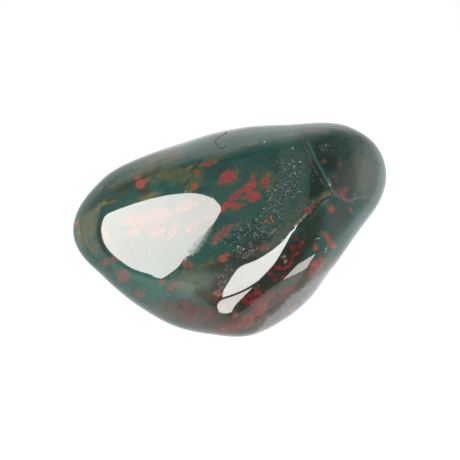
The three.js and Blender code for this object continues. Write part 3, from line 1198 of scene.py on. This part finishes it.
    def hairline(self, name, width, soft, wander, colour, strength, gaps=None):
        """A thin line of colour that wanders a little, with gaps where the fine noise is below
        their level; returns its mask."""
        wiring = self.wiring
        side, _, away = wiring.line(name)
        bent = wiring.maths("ABSOLUTE", self.broken(side, ragged=wander))
        width = self.broken(width, fine=width)
        thin = wiring.step(wiring.maths("SUBTRACT", width, bent), -soft, soft)
        thin = wiring.times(thin, wiring.step(away, 0.5, 0.3))
        if gaps is not None:
            thin = wiring.times(thin, wiring.step(self.fine, gaps, gaps + 0.1))
        self.lay(thin, colour, strength)
        return thin

    def lay_cracks(self):
        """The seam and the cracks. The pink crack and the red vein each have a wider, softer line
        under a fine one, and the fine ones and the two dark ones are also cut into the gloss."""
        self.hairline("teal_seam", 0.16, 0.10, 0.12, SEAM_TEAL, 0.8)
        self.hairline("red_vein", 0.17, 0.08, 0.7, PALE_VEIN, 0.5, -0.15)
        vein = self.hairline("red_vein", 0.08, 0.04, 0.7, VEIN_RED, 0.9, -0.2)
        self.hairline("pink_crack", 0.13, 0.06, 0.5, VEIN_RED, 0.5, -0.1)
        pink = self.hairline("pink_crack", 0.05, 0.04, 0.4, PINK_VEIN, 0.6, -0.05)
        hook = self.hairline("hook_crack", 0.08, 0.04, 0.35, DARK_PIT, 0.9, -0.12)
        short = self.hairline("short_crack", 0.07, 0.04, 0.4, DARK_PIT, 0.8, -0.15)
        dark = self.wiring.plus(hook, short)
        self.cracks = self.wiring.plus(self.wiring.plus(pink, vein), dark)

    def lay_ledge(self):
        """The chipped ledge: olive, orange, red and tan along its way, narrowing to its end, with a
        painted shadow as a dark foot along its lower side; then the bright chips and pits."""
        wiring = self.wiring
        step = wiring.step
        side, along, away = wiring.line("ledge")
        bent = self.broken(side, ragged=1.2, fine=0.6)
        along = self.broken(along, ragged=0.3)
        near = step(away, 0.8, 0.5)
        narrow = step(along, 0.4, 0.9, 0.0, 0.3)
        # Painted shadow under the ledge: a near-black foot along its lower side
        foot = wiring.times(wiring.times(step(bent, 0.2, 0.4), step(bent, 1.0, 0.5)), near)
        self.lay(foot, NEAR_BLACK, 0.8)
        lower = step(wiring.plus(bent, narrow), 0.45, 0.3)
        upper = step(wiring.maths("SUBTRACT", bent, narrow), -0.6, -0.2)
        self.chip = wiring.times(wiring.times(upper, lower), near)
        burnt = wiring.mix(step(self.broken(self.fine, ragged=0.8), -0.02, 0.14), EARTH, ORANGE)
        olive = wiring.mix(step(self.broken(self.fine, ragged=0.6), -0.08, 0.08), MOSS, GOLD)
        olive = wiring.mix(step(bent, 0.0, 0.2), OLIVE, olive)
        burnt = wiring.mix(step(bent, -0.1, -0.35), burnt, OLIVE)
        colour = wiring.mix(step(along, 0.14, 0.3), olive, burnt)
        colour = wiring.mix(step(along, 0.54, 0.6), colour, PURE_RED)
        colour = wiring.mix(step(along, 0.66, 0.72), colour, TAN)
        self.lay(self.chip, colour, 0.8)
        self.lay(self.mask("bright", 0.03, 0.0, 0.0, 0.12), BRIGHT, 0.8)

    def grained(self):
        """The finished colour, with a touch of grain over everything."""
        wiring = self.wiring
        shade = wiring.maths("MULTIPLY_ADD", self.noise("grain"), 0.9, 1.0)
        shade = wiring.maths("MULTIPLY_ADD", self.fine, 0.7, shade)
        grey = wiring.node("ShaderNodeCombineXYZ", X=shade, Y=shade, Z=shade)
        return wiring.mix(1.0, self.colour, grey.outputs[0], "MULTIPLY")

    def frost(self):
        """The frosted strip, broken up by the fine noise."""
        grit = self.wiring.step(self.fine, -0.06, 0.02)
        return self.wiring.times(self.mask("frost", 0.3, 0.0, 0.8, 0.9), grit)

    def roughness(self, frost):
        """The polish, a little duller in the haze and much duller on frost, chips and pits."""
        wiring = self.wiring
        rough = wiring.maths("MULTIPLY_ADD", self.haze, HAZE_ROUGHNESS, POLISH_ROUGHNESS)
        rough = wiring.maths("MULTIPLY_ADD", frost, FROST_ROUGHNESS, rough)
        rough = wiring.maths("MAXIMUM", rough, wiring.times(self.chip, CHIP_ROUGHNESS))
        pitted = wiring.maths("MAXIMUM", self.white_pits, self.cracks)
        return wiring.maths("MAXIMUM", rough, wiring.times(pitted, PIT_ROUGHNESS))

    def normal(self, frost):
        """The bump: fine rubble on the chip and the frost, less the hollows of pits and cracks."""
        wiring = self.wiring
        white = wiring.times(self.white_pits, WHITE_PIT_HOLLOW)
        pits = wiring.plus(white, wiring.times(self.dark_pits, DARK_PIT_HOLLOW))
        hollow = wiring.plus(wiring.times(pits, self.haze), self.cracks)
        rubble = wiring.times(frost, FROST_RUBBLE)
        rubble = wiring.plus(wiring.times(self.chip, CHIP_RUBBLE), rubble)
        height = wiring.maths("SUBTRACT", wiring.times(rubble, self.fine), hollow)
        bump = wiring.node("ShaderNodeBump", Strength=1.0, Distance=BUMP_DEPTH * MM, Height=height)
        return bump.outputs["Normal"]


def polished_bloodstone():
    """The stone's material: its marks laid in order, then its gloss and its bump."""
    material = bpy.data.materials.new("polished_bloodstone")
    material.use_nodes = True
    tree = material.node_tree
    tree.nodes.clear()
    wiring = Wiring(tree)
    stone = StoneColour(wiring)
    stone.lay_ground()
    stone.lay_reds()
    stone.lay_pale_band()
    stone.lay_pits()
    stone.lay_cracks()
    stone.lay_ledge()
    frost = stone.frost()
    shader = wiring.node(
        "ShaderNodeBsdfPrincipled",
        Roughness=stone.roughness(frost),
        Normal=stone.normal(frost),
        IOR=CHALCEDONY_IOR,
    )
    wiring.put(shader.inputs["Base Color"], stone.grained())
    output = wiring.node("ShaderNodeOutputMaterial")
    tree.links.new(shader.outputs[0], output.inputs["Surface"])
    return material


def make_stone():
    """The pebble: a box's even grid pushed out to the surface, fitted to the solid, and marked.
    Returns the piece, the place of its heart in metres and its scale."""
    grid_points, cells = box_grid()
    directions = grid_points / np.linalg.norm(grid_points, axis=1)[:, None]
    drawn = directions * surface_reach(directions)[:, None]
    placed, scale, shift = fit_to_solid(drawn)
    piece = make_mesh("bloodstone", placed, cells)
    normals = np.empty(len(placed) * 3, np.float32)
    piece.data.vertex_normals.foreach_get("vector", normals)
    write_marks(piece.data, drawn, normals.reshape(-1, 3))
    piece.data.materials.append(polished_bloodstone())
    return piece, shift * MM, scale


def glowing_material(name, glow, colour=(1, 1, 1)):
    """A black, dull material that glows by itself in this colour."""
    material = bpy.data.materials.new(name)
    material.use_nodes = True
    shader = material.node_tree.nodes["Principled BSDF"]
    shader.inputs["Base Color"].default_value = (0, 0, 0, 1)
    shader.inputs["Roughness"].default_value = 1
    shader.inputs["Specular IOR Level"].default_value = 0
    shader.inputs["Emission Color"].default_value = (*colour, 1)
    shader.inputs["Emission Strength"].default_value = glow
    return material


def fading_material(name):
    """Glows as strongly as each corner's own number says, fading between the corners."""
    material = glowing_material(name, 1)
    wiring = Wiring(material.node_tree)
    shader = material.node_tree.nodes["Principled BSDF"]
    wiring.put(shader.inputs["Emission Strength"], wiring.field("glow"))
    return material


def stage_piece(name, points, faces, material, glows=None):
    """A piece of the stage, with a glow at each of its points where the material fades."""
    mesh = bpy.data.meshes.new(name)
    mesh.from_pydata(points, [], faces)
    if glows is not None:
        write_field(mesh, "glow", np.array(glows))
    mesh.materials.append(material)
    piece = bpy.data.objects.new(name, mesh)
    bpy.context.scene.collection.objects.link(piece)


def sky_point(azimuth, rise, distance):
    """A point on an upright cylinder around the stone, in a direction seen from it."""
    azimuth = math.radians(azimuth)
    return (
        distance * math.sin(azimuth),
        distance * math.cos(azimuth),
        distance * math.tan(math.radians(rise)),
    )


def make_floor():
    """A pale floor of rings around the stone, each with its own share of the close glow. The
    stone hides the middle."""
    azimuths = np.arange(FLOOR_SECTORS) * 360 / FLOOR_SECTORS
    known, close_glows, far_glows = np.array(FLOOR_GLOWS).T
    close = np.interp(azimuths, known, close_glows, period=360)
    far = np.interp(azimuths, known, far_glows, period=360)
    points = []
    glows = []
    for radius, share in FLOOR_RINGS:
        points += [sky_point(azimuth, 0, radius) for azimuth in azimuths]
        glows += list(far + (close - far) * share)
    middle = len(points)
    points.append((0, 0, 0))
    glows.append(1.0)
    faces = []
    for k in range(FLOOR_SECTORS):
        after = (k + 1) % FLOOR_SECTORS
        faces.append((after, k, middle))
        for near in range(0, middle - FLOOR_SECTORS, FLOOR_SECTORS):
            far_ring = near + FLOOR_SECTORS
            faces.append((near + after, far_ring + after, far_ring + k, near + k))
    stage_piece("floor", points, faces, fading_material("pale_floor"), glows)


def mirrored_gaze(places):
    """Where the eye sees places of the outline's plane on the stone, and the directions in which
    the polish mirrors its gaze there: the gaze less twice its share along the normal."""
    eye = part_axes(np.array([[0, 0, SIGHT_DISTANCE]]))
    gaze = part_axes(np.column_stack([places, np.zeros(len(places))])) - eye
    gaze /= np.linalg.norm(gaze, axis=1)[:, None]
    points = eye + gaze * (SIGHT_DISTANCE - 2 * FRONT_DEPTH)
    for _ in range(GAZE_STEPS):
        points = points + gaze * (GAZE_STEP * height_over(points))[:, None]
    steps = TILT_REACH * np.eye(3)
    rises = [height_over(points + step) - height_over(points - step) for step in steps]
    normals = np.stack(rises, axis=1)
    normals /= np.linalg.norm(normals, axis=1)[:, None]
    return points, gaze - 2 * np.sum(gaze * normals, axis=1)[:, None] * normals


def smooth_side(points):
    """Places along the smooth curve through these points, up to but without the last one. An end
    point counts as its own neighbour, so sides meet at a corner."""
    points = np.array([points[0], *points, points[-1]])
    neighbours = (points[k : len(points) - 3 + k, None] for k in range(4))
    t = np.arange(STEPS_TO_A_POINT)[:, None] / STEPS_TO_A_POINT
    return smooth_between(*neighbours, t).reshape(-1, 2)


def panel_corners(outline):
    """The corners of a flat panel that the polish mirrors to the eye with this outline. The panel
    faces the middle of the mirrored gaze, and each corner is where that gaze meets its plane."""
    points, gaze = mirrored_gaze(np.concatenate([smooth_side(side) for side in outline]))
    facing = gaze.mean(0)
    facing /= np.linalg.norm(facing)
    reach = (PANEL_DISTANCE / MM - points @ facing) / (gaze @ facing)
    return points + gaze * reach[:, None]


def make_stage(heart, scale):
    """The floor, the softboxes and cards, and the walls. Each wall has three points to a column,
    and its faces join each column to the next."""
    make_floor()
    for name, (outline, glow) in PANELS.items():
        points = heart + panel_corners(outline) * scale * MM
        material = glowing_material(name, glow, PANEL_WHITE)
        stage_piece(name, points, [list(range(len(points)))], material)
    for name, profile in WALLS.items():
        points = []
        glows = []
        for azimuth, foot, full, top, glow, top_glow in profile:
            points += [sky_point(azimuth, rise, WALL_DISTANCE) for rise in (foot, full, top)]
            glows += [glow, glow, top_glow]
        faces = [(k, k + 3, k + 4, k + 1) for k in range(len(points) - 3) if k % 3 != 2]
        stage_piece(name, points, faces, fading_material(name), glows)


def make_camera(heart, scale):
    """The eye that the marks are laid out for, looking down at the stone's heart."""
    camera_data = bpy.data.cameras.new("camera")
    camera_data.sensor_width = SENSOR_WIDTH
    camera_data.lens = SENSOR_WIDTH * SIGHT_DISTANCE / FRAME_WIDTH
    camera_data.clip_start = CLIP_START
    camera = bpy.data.objects.new("camera", camera_data)
    distance = SIGHT_DISTANCE * scale * MM
    camera.location = (
        heart[0],
        heart[1] - distance * math.cos(OUTLINE_RISE),
        heart[2] + distance * math.sin(OUTLINE_RISE),
    )
    camera.rotation_euler = (math.pi / 2 - OUTLINE_RISE, 0, 0)
    bpy.context.scene.collection.objects.link(camera)
    bpy.context.scene.camera = camera


def light_room():
    """The dim, even light of the room."""
    world = bpy.data.worlds.new("dim_room")
    world.use_nodes = True
    light = world.node_tree.nodes["Background"]
    light.inputs["Color"].default_value = (1, 1, 1, 1)
    light.inputs["Strength"].default_value = ROOM_GLOW
    bpy.context.scene.world = world
    bpy.context.scene.view_settings.view_transform = "Standard"


stone, heart, scale = make_stone()
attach(stone, "root")
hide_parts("stone")

make_stage(heart, scale)
make_camera(heart, scale)
light_room()
